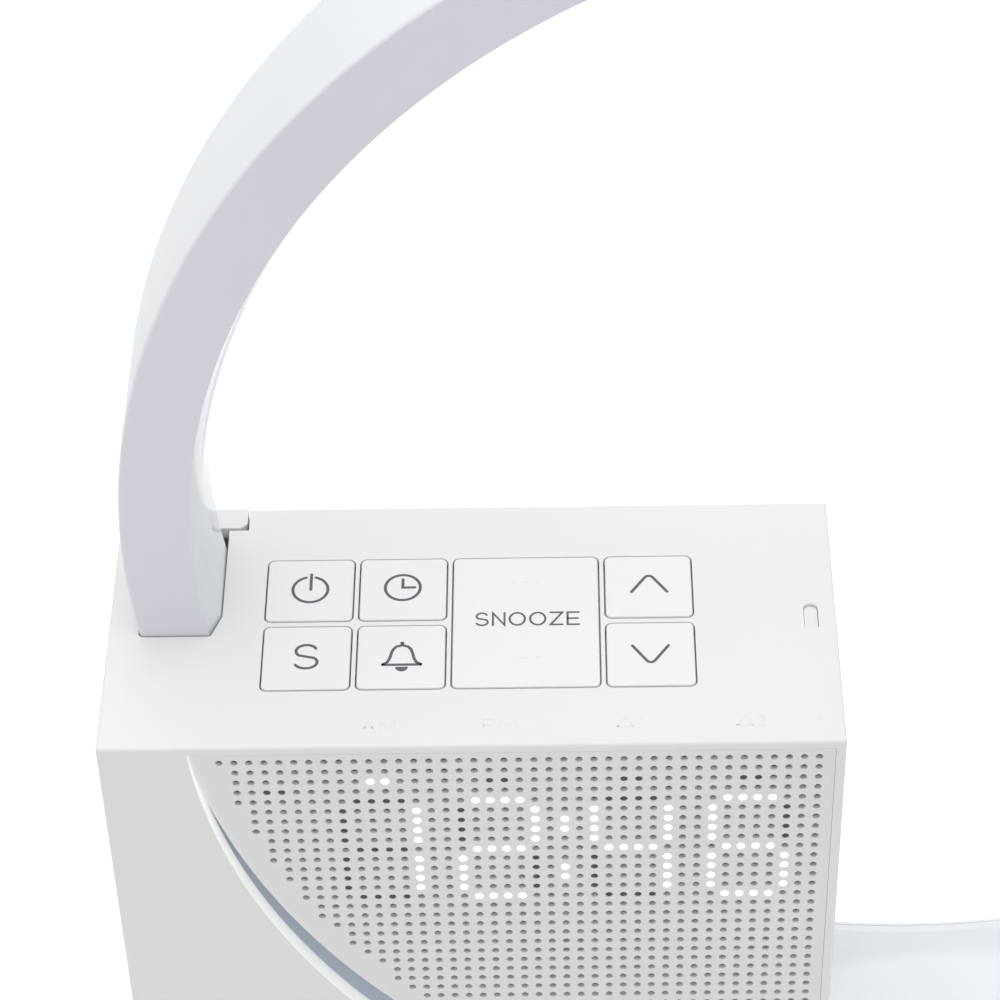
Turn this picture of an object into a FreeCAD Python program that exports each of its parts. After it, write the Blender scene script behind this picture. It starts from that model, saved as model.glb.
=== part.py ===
import FreeCAD, Part
import math
import os

# Sunrise alarm clock: a box with a perforated front, pierced by a full light ring.
# Everything is built in millimetres from the box's left, front, bottom corner: x to the
# right, y to the rear, z up from the table. The export moves it so that the origin is
# the centre of the whole object's footprint.

# Box
box_w = 109.85
box_d = 50.0
box_top = 108.0
foot_t = 1.2
wall = 2.0
panel_t = 2.8
rim_w = 1.5
edge_r = 0.5
gap = 0.25
seat = 0.05

# Light ring
ring_or = 123.5
ring_front = 23.0
ring_depth = 21.8
ring_rim_h = 10.4
ring_left = 3.65
crest_rise = 1.5
bevel_front = 4.1
bevel_back = 3.1
channel_wall = 1.4
channel_lip = 0.5
ring_slot_gap = 0.25
diffuser_t = 1.45
diffuser_foot = 1.5
led_count = 60
led_size = 3.0

# Front opening and grille
panel_r = 115.0
panel_shift_x = 0.7
panel_shift_z = -8.7
grille_r = 117.1
grille_shift_x = 0.9
grille_shift_z = 0.2
grille_t = 0.8
grille_edge_r = 3.0
flange_depth = 20.4
hole_pitch = 2.2
hole_r = 0.56
hole_field_r = 111.0
hole_shift_x = -0.5
hole_shift_z = 1.4
hole_margin_top = 3.23
hole_margin_right = 3.92
hole_cols = 41
scrim_t = 0.4
liner_step = 2.2
liner_t = 1.6

# Display
led_dot_r = 0.48
led_sink = 0.15
guide_t = 2.4
board_t = 1.6
digit_left_cols = (8, 16, 25, 33)
digit_w = 5
digit_top_row = 4
segment_len = 4
colon_col = 23
lit_segments = ("bc", "abged", "fgbc", "afgecd")
segment_names = "abcdefg"

# Keys
key_x = 23.65
key_y = 11.5
key_w = 13.1
key_d = 12.9
snooze_w = 22.0
key_gap_x = 1.1
key_gap_y = 1.3
key_r = 0.9
key_proud = 0.2
key_lip = 0.4
key_lip_t = 0.85
key_drop = 3.1
key_travel = 0.5
switch_w = 6.0
switch_h = 3.0
plunger_r = 1.6

# Ring carrier, clamps and screws
carrier_t = 2.2
carrier_in = 4.1
carrier_out = 15.5
clamp_angles = (206, 235)
clamp_t = 1.8
clamp_w = 7.0
pillar_r = 2.5
boss_r = 3.5
boss_len = 7.4
screw_r = 1.2
screw_head_r = 2.1
screw_head_t = 0.85
small_screw_r = 0.75
small_head_r = 1.4
small_head_t = 0.9

# Rear cover, boards and speaker
cover_t = 2.4
cover_screw_sink = 1.2
cover_screw_len = 7.0
board_screw_grip = 3.0
vent_count = 6
vent_pitch = 5.0
vent_w = 1.6
vent_span = (10.0, 26.0)
tab_front = 45.8
tab_side = 3.0
tab_proud = 0.3
tab_r = 1.5
main_w = 40.0
main_h = 50.0
main_right = 13.2
main_z = 42.0
main_standoff = 6.0
usb_w = 8.9
usb_h = 3.2
usb_len = 8.2
usb_wall = 0.35
usb_from_right = 10.0
usb_up = 22.0
board_chip_list = ((10, 34, 7, 7, 1.2), (24, 14, 5, 5, 1.0), (30, 38, 4, 3, 1.6), (12, 12, 6, 6, 2.4))
speaker_right = 25.92
speaker_z = 47.57
speaker_r = 18.0
speaker_depth = 11.6
magnet_r = 11.0
magnet_t = 8.0
frame_t = 1.2
ear_r = 2.4
post_r = 2.0
speaker_screw_pitch = 14.3

# Battery, sensor and feet
cell_r = 10.0
cell_t = 3.2
battery_x = 30.0
battery_y = 35.3
cap_r = 11.2
cap_t = 1.6
contact_t = 0.7
holder_wall = 2.0
coin_slot = (14.0, 1.8, 0.9)
foot_r = 5.0
foot_inset = 8.0
ring_foot_w = 18.0
ring_foot_d = 16.0
ring_foot_rise = 2.0
window_w = 2.2
window_len = 5.6
window_right = 3.8
window_y = 25.4
window_sink = 0.5

# Places that follow from the sizes above
V = FreeCAD.Vector
floor_z = foot_t
in_left, in_right = wall, box_w - wall
in_top, in_floor = box_top - wall, floor_z + wall
ring_cx = ring_left + ring_or
ring_cz = foot_t + ring_or
ring_ir = ring_or - ring_rim_h
crest_r = ring_ir - crest_rise
ring_back = ring_front + ring_depth
grille_cx, grille_cz = ring_cx + grille_shift_x, ring_cz + grille_shift_z
hole_cx, hole_cz = ring_cx + hole_shift_x, ring_cz + hole_shift_z
panel_cx, panel_cz = ring_cx + panel_shift_x, ring_cz + panel_shift_z
overall_w = ring_cx + ring_or
far = 2 * overall_w
cover_in = box_d - cover_t
scrim_back = grille_t + 0.1 + scrim_t
guide_back = scrim_back + 0.1 + guide_t
display_back = guide_back + board_t
key_bottom = box_top + key_proud - key_drop
board_top = key_bottom - key_travel - 0.8 - switch_h
board_under = board_top - board_t
main_x = box_w - main_right - main_w
main_back = cover_in - main_standoff
main_front = main_back - board_t
speaker_cx = box_w - speaker_right
flange_y = scrim_back + 1.3


def box(x, y, z):
    size = (x[1] - x[0], y[1] - y[0], z[1] - z[0])
    return Part.makeBox(*size, V(x[0], y[0], z[0]))


def rod_y(x, z, r, y):
    return Part.makeCylinder(r, y[1] - y[0], V(x, y[0], z), V(0, 1, 0))


def rod_z(x, y, r, z):
    return Part.makeCylinder(r, z[1] - z[0], V(x, y, z[0]), V(0, 0, 1))


def tube_y(x, z, r_out, r_in, y):
    return rod_y(x, z, r_out, y).cut(rod_y(x, z, r_in, y))


def soft_box(x, y, z, r, axis):
    """A box whose edges along one axis are rounded."""
    solid = box(x, y, z)
    edges = [e for e in solid.Edges if abs(abs(e.tangentAt(0).dot(axis)) - 1) < 1e-6]
    return solid.makeFillet(r, edges)


def rounded_wire(points, radii):
    """A closed outline with an arc of its own radius at each corner, 0 for sharp."""
    starts, ends, mids = [], [], []
    count = len(points)
    for i, corner in enumerate(points):
        to_prev = (points[i - 1] - corner).normalize()
        to_next = (points[(i + 1) % count] - corner).normalize()
        half = to_prev.getAngle(to_next) / 2
        cut = radii[i] / math.tan(half)
        bisector = (to_prev + to_next).normalize()
        starts.append(corner + to_prev * cut)
        ends.append(corner + to_next * cut)
        mids.append(corner + bisector * (radii[i] / math.sin(half) - radii[i]))
    edges = []
    for i in range(count):
        if radii[i] > 0:
            edges.append(Part.Arc(starts[i], mids[i], ends[i]).toShape())
        edges.append(Part.LineSegment(ends[i], starts[(i + 1) % count]).toShape())
    return Part.Wire(edges)


def revolved(profile, radii, x, z):
    """Turns a list of (radius, y) corners about a Y axis through x, z."""
    points = [V(x + r, y, z) for r, y in profile]
    face = Part.Face(rounded_wire(points, radii))
    return face.revolve(V(x, 0, z), V(0, 1, 0), 360)


def wire_along(points, r):
    """A round lead through the given points, with an arc at each turn."""
    bend = 4 * r
    edges, start = [], points[0]
    for prev, corner, nxt in zip(points, points[1:], points[2:]):
        a = corner + (prev - corner).normalize() * bend
        b = corner + (nxt - corner).normalize() * bend
        half = (prev - corner).getAngle(nxt - corner) / 2
        out = (prev - corner).normalize() + (nxt - corner).normalize()
        radius = bend * math.tan(half)
        mid = corner + out.normalize() * (radius / math.sin(half) - radius)
        edges.append(Part.LineSegment(start, a).toShape())
        edges.append(Part.Arc(a, mid, b).toShape())
        start = b
    edges.append(Part.LineSegment(start, points[-1]).toShape())
    path = Part.Wire(edges)
    ring = Part.Wire(Part.Circle(points[0], points[1] - points[0], r).toShape())
    return path.makePipeShell([ring], True, False)


def screw(x, y, z, direction, length, r, head_r, head_t):
    """A pan-head screw with a cross recess; the point is where the head seats."""
    axis = V(*direction)
    seat_at = V(x, y, z)
    shank = Part.makeCylinder(r, length, seat_at, axis)
    head = Part.makeCylinder(head_r, head_t, seat_at - axis * head_t, axis)
    solid = head.fuse(shank).removeSplitter()
    slot_l, slot_w, slot_d = head_r * 1.2, head_r * 0.3, head_t * 0.5
    for a, b in ((slot_l, slot_w), (slot_w, slot_l)):
        slot = Part.makeBox(a, b, slot_d, V(-a / 2, -b / 2, -head_t))
        slot.Placement = FreeCAD.Placement(seat_at, FreeCAD.Rotation(V(0, 0, 1), axis))
        solid = solid.cut(slot)
    return solid


def fused(solids):
    solids = list(solids)
    return solids[0].multiFuse(solids[1:]).removeSplitter() if solids[1:] else solids[0]


def group(solids):
    return Part.makeCompound(list(solids))


def export(name, shape):
    moved = shape.copy()
    moved.translate(V(-overall_w / 2, -box_d / 2, 0))
    moved.exportStep("parts/" + name + ".step")


def ring_point(angle, r):
    a = math.radians(angle)
    return ring_cx + r * math.cos(a), ring_cz + r * math.sin(a)


def ring_sweep(r_in, r_out, y):
    return tube_y(ring_cx, ring_cz, r_out, r_in, y)


def crossing_x(r, z):
    """Where a circle about the ring's centre crosses a height, on the left."""
    return ring_cx - math.sqrt(r * r - (z - ring_cz) ** 2)


def crossing_z(r, x):
    return ring_cz - math.sqrt(r * r - (x - ring_cx) ** 2)


# Screw places on the rear cover: x, z and the wall that carries each boss
cover_screws = (
    (26.0, box_top - 16.0, "top"),
    (box_w - 8.2, box_top - 16.0, "right"),
    (box_w - 8.2, floor_z + 24.8, "right"),
    (10.0, floor_z + 8.8, "left"),
)
main_screws = [(main_x + dx, main_z + dz) for dx in (4, main_w - 4) for dz in (4, main_h - 4)]
key_screws = [(x, y) for x in (40.0, 95.0) for y in (9.6, 41.0)]
speaker_screws = [(speaker_cx + sx * speaker_screw_pitch, speaker_z + sz * speaker_screw_pitch)
                  for sx in (-1, 1) for sz in (-1, 1)]
carrier_screws = [ring_point(a, ring_or + 11) for a in (209, 233)]
window_x = box_w - window_right
tab_x = (crossing_x(ring_or, box_top) - tab_side, crossing_x(crest_r, box_top) + tab_side)
low_tab_z = (in_floor + gap, crossing_z(crest_r, box_w) + tab_side)


# Keys: name, x range, y range
key_cols = [key_x, key_x + key_w + key_gap_x]
snooze_x = key_cols[1] + key_w + key_gap_x
arrow_x = snooze_x + snooze_w + key_gap_x
rear_row = key_y + key_d + key_gap_y
key_list = (
    ("power_key", key_cols[0], key_w, rear_row, key_d),
    ("clock_key", key_cols[1], key_w, rear_row, key_d),
    ("sound_key", key_cols[0], key_w, key_y, key_d),
    ("alarm_key", key_cols[1], key_w, key_y, key_d),
    ("snooze_key", snooze_x, snooze_w, key_y, 2 * key_d + key_gap_y),
    ("up_key", arrow_x, key_w, rear_row, key_d),
    ("down_key", arrow_x, key_w, key_y, key_d),
)


def key_block(key, grow, z, r):
    _, x, w, y, d = key
    return soft_box((x - grow, x + w + grow), (y - grow, y + d + grow), z, r, V(0, 0, 1))


def key_centre(key):
    _, x, w, y, d = key
    return x + w / 2, y + d / 2


def obround(x, y, w, length, z):
    """A round-ended block, long in y."""
    ends = [rod_z(x, y + s * (length - w) / 2, w / 2, z) for s in (-1, 1)]
    core = box((x - w / 2, x + w / 2), (y - (length - w) / 2, y + (length - w) / 2), z)
    return fused([core] + ends)


# Box shell
def make_front_housing():
    outer = box((0, box_w), (0, box_d), (floor_z, box_top))
    edges = [e for e in outer.Edges if e.BoundBox.YMin < box_d - 1e-6]
    outer = outer.makeFillet(edge_r, edges)
    inner = box((in_left, in_right), (panel_t, box_d + 1), (in_floor, in_top))
    opening = rod_y(panel_cx, panel_cz, panel_r, (-1, panel_t + 1))
    limit = box((-1, box_w - rim_w), (-1, panel_t + 1), (-1, box_top - rim_w))
    deep_limit = box((-1, in_right), (grille_t + gap, panel_t + 1), (-1, in_top))
    front = opening.common(limit).cut(box((-1, far), (grille_t + gap, far), (-1, far)))
    shell = outer.cut(inner).cut(front).cut(opening.common(deep_limit))
    shell = shell.cut(ring_clearance(ring_slot_gap))
    for key in key_list:
        shell = shell.cut(key_block(key, gap, (in_top - 1, box_top + 1), key_r + gap))
    shell = shell.cut(obround(window_x, window_y, window_w, window_len, (in_top - 1, box_top + 1)))
    shell = shell.cut(box((tab_x[0] - gap, tab_x[1] + gap), (tab_front - gap, box_d + 1),
                          (in_top - 0.1, box_top + 1)))
    shell = shell.cut(box((in_right - 0.1, box_w + 1), (tab_front - gap, box_d + 1),
                          (low_tab_z[0] - gap, low_tab_z[1] + gap)))
    shell = shell.cut(rod_z(battery_x, battery_y, cap_r + gap, (floor_z - 1, in_floor + 1)))
    return fused([shell] + housing_bosses())


def ring_clearance(g):
    """The light ring's section made larger all round and open to the rear, as a cutter."""
    y0 = ring_front - g
    profile = [(ring_or + g, y0), (ring_ir - g, y0), (crest_r - g, y0 + bevel_front),
               (crest_r - g, box_d + 1), (ring_or + g, box_d + 1)]
    return revolved(profile, [1.0, 0.6, 0, 0, 0], ring_cx, ring_cz)


def housing_bosses():
    """Screw bosses with a web to the nearest wall, key-board posts and display ribs."""
    parts = []
    boss_y = (cover_in - seat - boss_len, cover_in - seat)
    for x, z, side in cover_screws:
        boss = rod_y(x, z, boss_r, boss_y)
        web_y = (boss_y[1] - 4.2, boss_y[1])
        reach = {"top": ((x - 1, x + 1), (z, in_top + 0.1)),
                 "right": ((x, in_right + 0.1), (z - 1, z + 1)),
                 "left": ((in_left - 0.1, x), (z - 1, z + 1))}[side]
        parts.append(boss.fuse(box(reach[0], web_y, reach[1]))
                     .cut(rod_y(x, z, screw_r + seat, (boss_y[0] + 1, far))))
    for x, y in key_screws:
        parts.append(rod_z(x, y, small_head_r, (board_top, in_top + 0.1))
                     .cut(rod_z(x, y, small_screw_r + seat, (board_top - 1, in_top - 1))))
    for x in (36.0, 66.0, 98.0):
        parts.append(box((x, x + 3), (display_back + seat, display_back + 1.0),
                         (box_top - 8.5, in_top + 0.1)))
    for x, z in carrier_screws:
        parts.append(rod_y(x, z, boss_r, (panel_t - 0.1, ring_front - 0.2 - carrier_t))
                     .cut(rod_y(x, z, screw_r + seat, (panel_t + 3, far))))
    return parts


def hole_centres():
    x0 = box_w - hole_margin_right - (hole_cols - 1) * hole_pitch
    z0 = box_top - hole_margin_top
    rows = int((z0 - floor_z) / hole_pitch)
    for row in range(rows):
        for col in range(hole_cols):
            x, z = x0 + col * hole_pitch, z0 - row * hole_pitch
            if math.hypot(x - hole_cx, z - hole_cz) <= hole_field_r:
                yield row, col, x, z


def grille_outline(r, right, top, y):
    """The grille's outline: a top edge, a right edge and the long arc."""
    x_top = grille_cx - math.sqrt(r * r - (top - grille_cz) ** 2)
    z_right = grille_cz - math.sqrt(r * r - (right - grille_cx) ** 2)
    half = (math.atan2(top - grille_cz, x_top - grille_cx) % (2 * math.pi)
            + math.atan2(z_right - grille_cz, right - grille_cx) % (2 * math.pi)) / 2
    mid = V(grille_cx + r * math.cos(half), y, grille_cz + r * math.sin(half))
    a, b, c = V(x_top, y, top), V(right, y, top), V(right, y, z_right)
    edges = [Part.LineSegment(a, b), Part.LineSegment(b, c), Part.Arc(c, mid, a)]
    return Part.Wire([e.toShape() for e in edges])


def plate_with_holes(outline, centres, r, y, t):
    holes = []
    for x, z in centres:
        holes.append(Part.Wire(Part.Circle(V(x, y, z), V(0, 1, 0), r).toShape()))
    face = Part.makeFace([outline] + holes, "Part::FaceMakerCheese")
    return face.extrude(V(0, t, 0))


def make_grille_panel():
    right, top = box_w - rim_w - seat, box_top - rim_w - seat
    outline = grille_outline(grille_r - grille_edge_r, right, top, 0)
    plate = plate_with_holes(outline, [(x, z) for _, _, x, z in hole_centres()],
                             hole_r, 0, grille_t)
    r0, r1 = grille_r - grille_edge_r, grille_r
    profile = [(r0, 0), (r1, 0), (r1, flange_depth), (r1 - grille_t, flange_depth),
               (r1 - grille_t, grille_t), (r0, grille_t)]
    inner_r = max(0.2, grille_edge_r - grille_t)
    edge = revolved(profile, [0, grille_edge_r - 0.01, 0, 0, inner_r - 0.01, 0],
                    grille_cx, grille_cz)
    face_zone = box((0, right), (-1, grille_t), (0, top))
    deep_zone = box((0, in_right - gap), (-1, far), (in_floor + gap, in_top - gap))
    edge = edge.common(face_zone.fuse(deep_zone))
    in_opening = rod_y(panel_cx, panel_cz, panel_r - seat, (-1, panel_t + gap))
    edge = edge.common(in_opening.fuse(box((0, far), (panel_t + gap, far), (0, far))))
    low_left = box((-far, grille_cx), (-far, far), (-far, grille_cz))
    edge = edge.common(low_left)
    posts = [rod_y(x, z, post_r, (grille_t / 2, flange_y)) for x, z in speaker_screws]
    posts = [p.cut(rod_y(*at, small_screw_r + seat, (grille_t, far)))
             for p, at in zip(posts, speaker_screws)]
    return plate.multiFuse([edge] + posts)


def make_ring_tunnel_liner():
    r0 = panel_r + liner_step
    liner = tube_y(panel_cx, panel_cz, r0 + liner_t, r0,
                   (panel_t + seat, ring_front - 0.2 - carrier_t - seat))
    inside = box((in_left + seat, in_right - seat), (0, box_d), (in_floor + seat, in_top - seat))
    low_left = box((-far, panel_cx), (0, box_d), (-far, panel_cz))
    return liner.common(inside).common(low_left)


# Display
def cell(row, col):
    x0 = box_w - hole_margin_right - (hole_cols - 1) * hole_pitch
    return x0 + col * hole_pitch, box_top - hole_margin_top - row * hole_pitch


def segment_cells(left, name):
    top, mid, low = (digit_top_row + i * (segment_len + 1) for i in range(3))
    right = left + digit_w
    across = range(left + 1, right)
    upper, lower = range(top + 1, mid), range(mid + 1, low)
    runs = {"a": [(top, c) for c in across], "g": [(mid, c) for c in across],
            "d": [(low, c) for c in across], "f": [(r, left) for r in upper],
            "b": [(r, right) for r in upper], "e": [(r, left) for r in lower],
            "c": [(r, right) for r in lower]}
    return runs[name]


def display_cells():
    lit, unlit = [], []
    for left, on in zip(digit_left_cols, lit_segments):
        for name in segment_names:
            (lit if name in on else unlit).extend(segment_cells(left, name))
    lit += [(digit_top_row + 2 + i, colon_col) for i in (0, 1, 5, 6)]
    lit += [(2, 10), (2, 11)]
    unlit += [(2, 18), (2, 19), (2, 27), (2, 28), (2, 35), (2, 36), (3, 3), (3, 4)]
    return lit, unlit


display_x = (cell(0, 2)[0], cell(0, hole_cols - 1)[0] - 0.6)
display_z = (cell(17, 0)[1], in_top - 1.6)


def display_outline(y):
    """The display stack's rectangle, with its lower left corner kept clear of the grille's arc."""
    (x0, x1), (z0, z1) = display_x, display_z
    corners = [V(x0, y, z0), V(x1, y, z0), V(x1, y, z1), V(x0, y, z1)]
    rectangle = Part.Face(Part.makePolygon(corners + corners[:1]))
    circle = Part.Circle(V(hole_cx, y, hole_cz), V(0, 1, 0), hole_field_r)
    return rectangle.common(Part.Face(Part.Wire(circle.toShape()))).Faces[0].OuterWire


def make_dust_scrim(cells):
    outline = grille_outline(grille_r - grille_edge_r - 0.2, in_right - gap, in_top - gap,
                             grille_t + 0.1)
    centres = [cell(row, col) for row, col in cells]
    scrim = plate_with_holes(outline, centres, led_dot_r + 0.2, grille_t + 0.1, scrim_t)
    for x, z in speaker_screws:
        scrim = scrim.cut(rod_y(x, z, post_r + gap, (0, far)))
    return scrim


def make_light_guide(cells):
    y = scrim_back + 0.1
    outline = display_outline(y)
    return plate_with_holes(outline, [cell(*c) for c in cells], led_dot_r + 0.15, y, guide_t)


def make_dots(cells):
    """LED lenses, each standing in its own hole and almost flush with the grille's face."""
    return group(rod_y(*cell(*c), led_dot_r, (led_sink, guide_back)) for c in cells)


def export_display():
    lit, unlit = display_cells()
    export("dust_scrim", make_dust_scrim(lit + unlit))
    export("display_light_guide", make_light_guide(lit + unlit))
    export("display_leds_lit", make_dots(lit))
    export("display_leds_unlit", make_dots(unlit))
    places = [(display_x[0] + 16, display_z[0] + 2.2), (display_x[1] - 2.4, display_z[0] + 2.2),
              (display_x[0] + 2.4, display_z[1] - 8.2), (display_x[1] - 2.4, display_z[1] - 8.2)]
    export("display_board", plate_with_holes(display_outline(guide_back), places,
                                             small_screw_r + seat, guide_back, board_t))
    screws = [screw(x, display_back, z, (0, -1, 0), board_t + seat * 2 - 0.1,
                    small_screw_r, small_head_r, small_head_t) for x, z in places]
    export("display_board_screws", group(screws))
    ribbon_x = (main_x + 6, main_x + 18)
    export("display_ribbon", box(ribbon_x, (display_back + seat, main_front - seat),
                                 (display_z[0] + 4, display_z[0] + 4.3)))


# Keys and their board
def export_keys():
    bores = []
    for key in key_list:
        cap = key_block(key, 0, (key_bottom, box_top + key_proud), key_r)
        top_edges = [e for e in cap.Edges if e.BoundBox.ZMin > box_top + key_proud - 1e-4]
        cap = cap.makeFillet(0.25, top_edges)
        lip = key_block(key, key_lip, (key_bottom, key_bottom + key_lip_t), key_r + key_lip)
        export(key[0], cap.fuse(lip).removeSplitter())
        x, y = key_centre(key)
        plunger_z = key_bottom - key_travel - 2.0
        export(key[0].replace("_key", "_switch_plunger"),
               rod_z(x, y, plunger_r, (plunger_z, key_bottom)))
        bores.append(switch_body(x, y, plunger_z - key_travel - 0.1))
    export("key_switches", group(bores))


def switch_body(x, y, bore_floor):
    half = switch_w / 2
    body = soft_box((x - half, x + half), (y - half, y + half),
                    (board_top, board_top + switch_h), 0.4, V(0, 0, 1))
    return body.cut(rod_z(x, y, plunger_r + 0.2, (bore_floor, far)))


def export_key_board():
    board = box((key_x - key_lip, in_right - gap), (display_back + 1.6, key_screws[1][1] + 1.8),
                (board_under, board_top))
    for x, y in key_screws:
        board = board.cut(rod_z(x, y, small_screw_r + seat, (0, far)))
    export("key_board", board)
    export("key_board_screws", group(
        screw(x, y, board_under, (0, 0, 1), board_t + board_screw_grip,
              small_screw_r, small_head_r, small_head_t)
        for x, y in key_screws))
    ribbon_y = main_front - 0.5
    export("key_ribbon", box((main_x + 18, main_x + 28), (ribbon_y, ribbon_y + 0.3),
                             (main_z + main_h - 3, board_under - seat)))
    pipe = obround(window_x, window_y, window_w - 0.2, window_len - 0.2,
                   (board_top + 1.1, box_top - window_sink))
    shelf = box((window_x - 3, window_x + window_w / 2 - 0.2),
                (window_y - window_len / 2 - 0.8, window_y + window_len / 2 + 0.8),
                (in_top - 1.2, in_top - seat))
    export("light_window", pipe.fuse(shelf).removeSplitter())
    export("light_sensor", box((window_x - 1, window_x + 1), (window_y - 1.5, window_y + 1.5),
                               (board_top, board_top + 0.9)))


# Light ring
def export_ring():
    w, lip, foot = channel_wall, channel_lip, diffuser_foot
    y0, y1 = ring_front, ring_back
    ledge_r = ring_ir + diffuser_t
    half = [(ring_ir, 0), (ring_ir, lip), (ledge_r, lip), (ledge_r, w), (ring_or - w, w)]
    profile = [(ring_or, y0)] + [(r, y0 + t) for r, t in half]
    profile += [(r, y1 - t) for r, t in reversed(half)] + [(ring_or, y1)]
    export("ring_channel", revolved(profile, [0.6] + [0] * 10 + [0.6], ring_cx, ring_cz))
    a, b = y0 + lip + seat, y1 - lip - seat
    front, back = y0 + bevel_front, y1 - bevel_back
    outer_r, inner_r = ledge_r - seat, crest_r + diffuser_t
    profile = [(ring_ir, a), (crest_r, front), (crest_r, back), (ring_ir, b), (outer_r, b),
               (outer_r, b - foot), (inner_r, back - foot / 2), (inner_r, front + foot / 2),
               (outer_r, a + foot), (outer_r, a)]
    export("ring_diffuser", revolved(profile, [0, 0.15, 0.15] + [0] * 7, ring_cx, ring_cz))
    strip_r = ring_or - w - seat
    middle = (ring_front + ring_back) / 2
    export("ring_led_strip", ring_sweep(strip_r - 0.3, strip_r, (middle - 5, middle + 5)))
    chips = []
    for i in range(led_count):
        chip = box((strip_r - 0.35 - 1.0, strip_r - 0.35 - 0.02),
                   (middle - led_size / 2, middle + led_size / 2), (-led_size / 2, led_size / 2))
        chip.rotate(V(0, 0, 0), V(0, 1, 0), 360.0 * i / led_count)
        chip.translate(V(ring_cx, 0, ring_cz))
        chips.append(chip)
    export("ring_leds", group(chips))


def radial_bar(angle, r, y, w):
    bar = box(r, y, (-w / 2, w / 2))
    bar.rotate(V(0, 0, 0), V(0, 1, 0), -angle)
    bar.translate(V(ring_cx, 0, ring_cz))
    return bar


def export_ring_mounting():
    y0, y1 = ring_front - 0.2 - carrier_t, ring_front - 0.2
    r_in, r_out = crest_r - carrier_in, ring_or + carrier_out
    inside = box((in_left + gap, in_right - gap), (y0, y1), (in_floor + gap, board_under - 0.6))
    low_left = box((-far, ring_cx), (0, box_d), (-far, ring_cz))
    plate = ring_sweep(r_in, r_out, (y0, y1)).common(inside).common(low_left)
    pillars, bores, straps, screws = [], [], [], []
    pin_r = (crest_r - 0.7 - pillar_r, ring_or + 0.7 + pillar_r)
    strap_y = (ring_back + seat, ring_back + seat + clamp_t)
    for angle in clamp_angles:
        strap = radial_bar(angle, (pin_r[0] - 2.9, pin_r[1] + 2.9), strap_y, clamp_w)
        for r in pin_r:
            x, z = ring_point(angle, r)
            pillars.append(rod_y(x, z, pillar_r, (y0, ring_back)))
            bores.append(rod_y(x, z, screw_r + seat, (ring_back - 8, far)))
            strap = strap.cut(rod_y(x, z, screw_r + seat, (0, far)))
            screws.append(screw(x, strap_y[1], z, (0, -1, 0), 8.0,
                                screw_r, screw_head_r, screw_head_t))
        straps.append(strap)
    carrier = fused([plate] + pillars)
    for bore in bores:
        carrier = carrier.cut(bore)
    for x, z in carrier_screws:
        carrier = carrier.cut(rod_y(x, z, screw_r + seat, (0, far)))
        screws.append(screw(x, y1, z, (0, -1, 0), 8.0, screw_r, screw_head_r, screw_head_t))
    export("ring_carrier", carrier)
    export("ring_clamp_upper", straps[0])
    export("ring_clamp_lower", straps[1])
    export("ring_clamp_screws", group(screws))


# Rear cover, main board and socket
def make_rear_cover():
    x, z = (in_left + gap, in_right - gap), (in_floor + gap, in_top - gap)
    cover = box(x, (cover_in, box_d), z)
    top_tab = soft_box(tab_x, (tab_front, box_d), (in_top + gap, box_top + tab_proud),
                       tab_r, V(0, 0, 1))
    square_back = box(tab_x, (box_d - tab_r - 0.5, box_d), (in_top + gap, box_top + tab_proud))
    neck = box((x[0], tab_x[1]), (cover_in, box_d), (z[1] - 1, in_top + gap + 0.1))
    low_tab = box((in_right + gap, box_w), (tab_front, box_d), low_tab_z)
    low_neck = box((x[1] - 1, in_right + gap + 0.1), (cover_in, box_d), low_tab_z)
    cover = fused([cover, top_tab, square_back, neck, low_tab, low_neck])
    posts = []
    for px, pz in main_screws:
        posts.append(rod_y(px, pz, pillar_r, (main_back, cover_in + 0.1))
                     .cut(rod_y(px, pz, small_screw_r + seat, (0, cover_in - 1))))
    cover = fused([cover] + posts)
    for sx, sz, _ in cover_screws:
        cover = cover.cut(rod_y(sx, sz, screw_r + 0.15, (0, far)))
        cover = cover.cut(rod_y(sx, sz, screw_head_r + 0.3, (box_d - cover_screw_sink, far)))
    cover = cover.cut(usb_block(0.3, (0, far)))
    for i in range(vent_count):
        vx = speaker_cx + (i - (vent_count - 1) / 2) * vent_pitch
        cover = cover.cut(box((vx - vent_w / 2, vx + vent_w / 2), (0, far),
                              (speaker_z - vent_span[1], speaker_z - vent_span[0])))
    return cover


def usb_block(grow, y):
    cx, cz = usb_place()
    half_w, half_h = usb_w / 2 + grow, usb_h / 2 + grow
    return soft_box((cx - half_w, cx + half_w), y, (cz - half_h, cz + half_h),
                    half_h - 0.1, V(0, 1, 0))


def usb_place():
    return main_x + main_w - usb_from_right, main_z + usb_up


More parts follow.
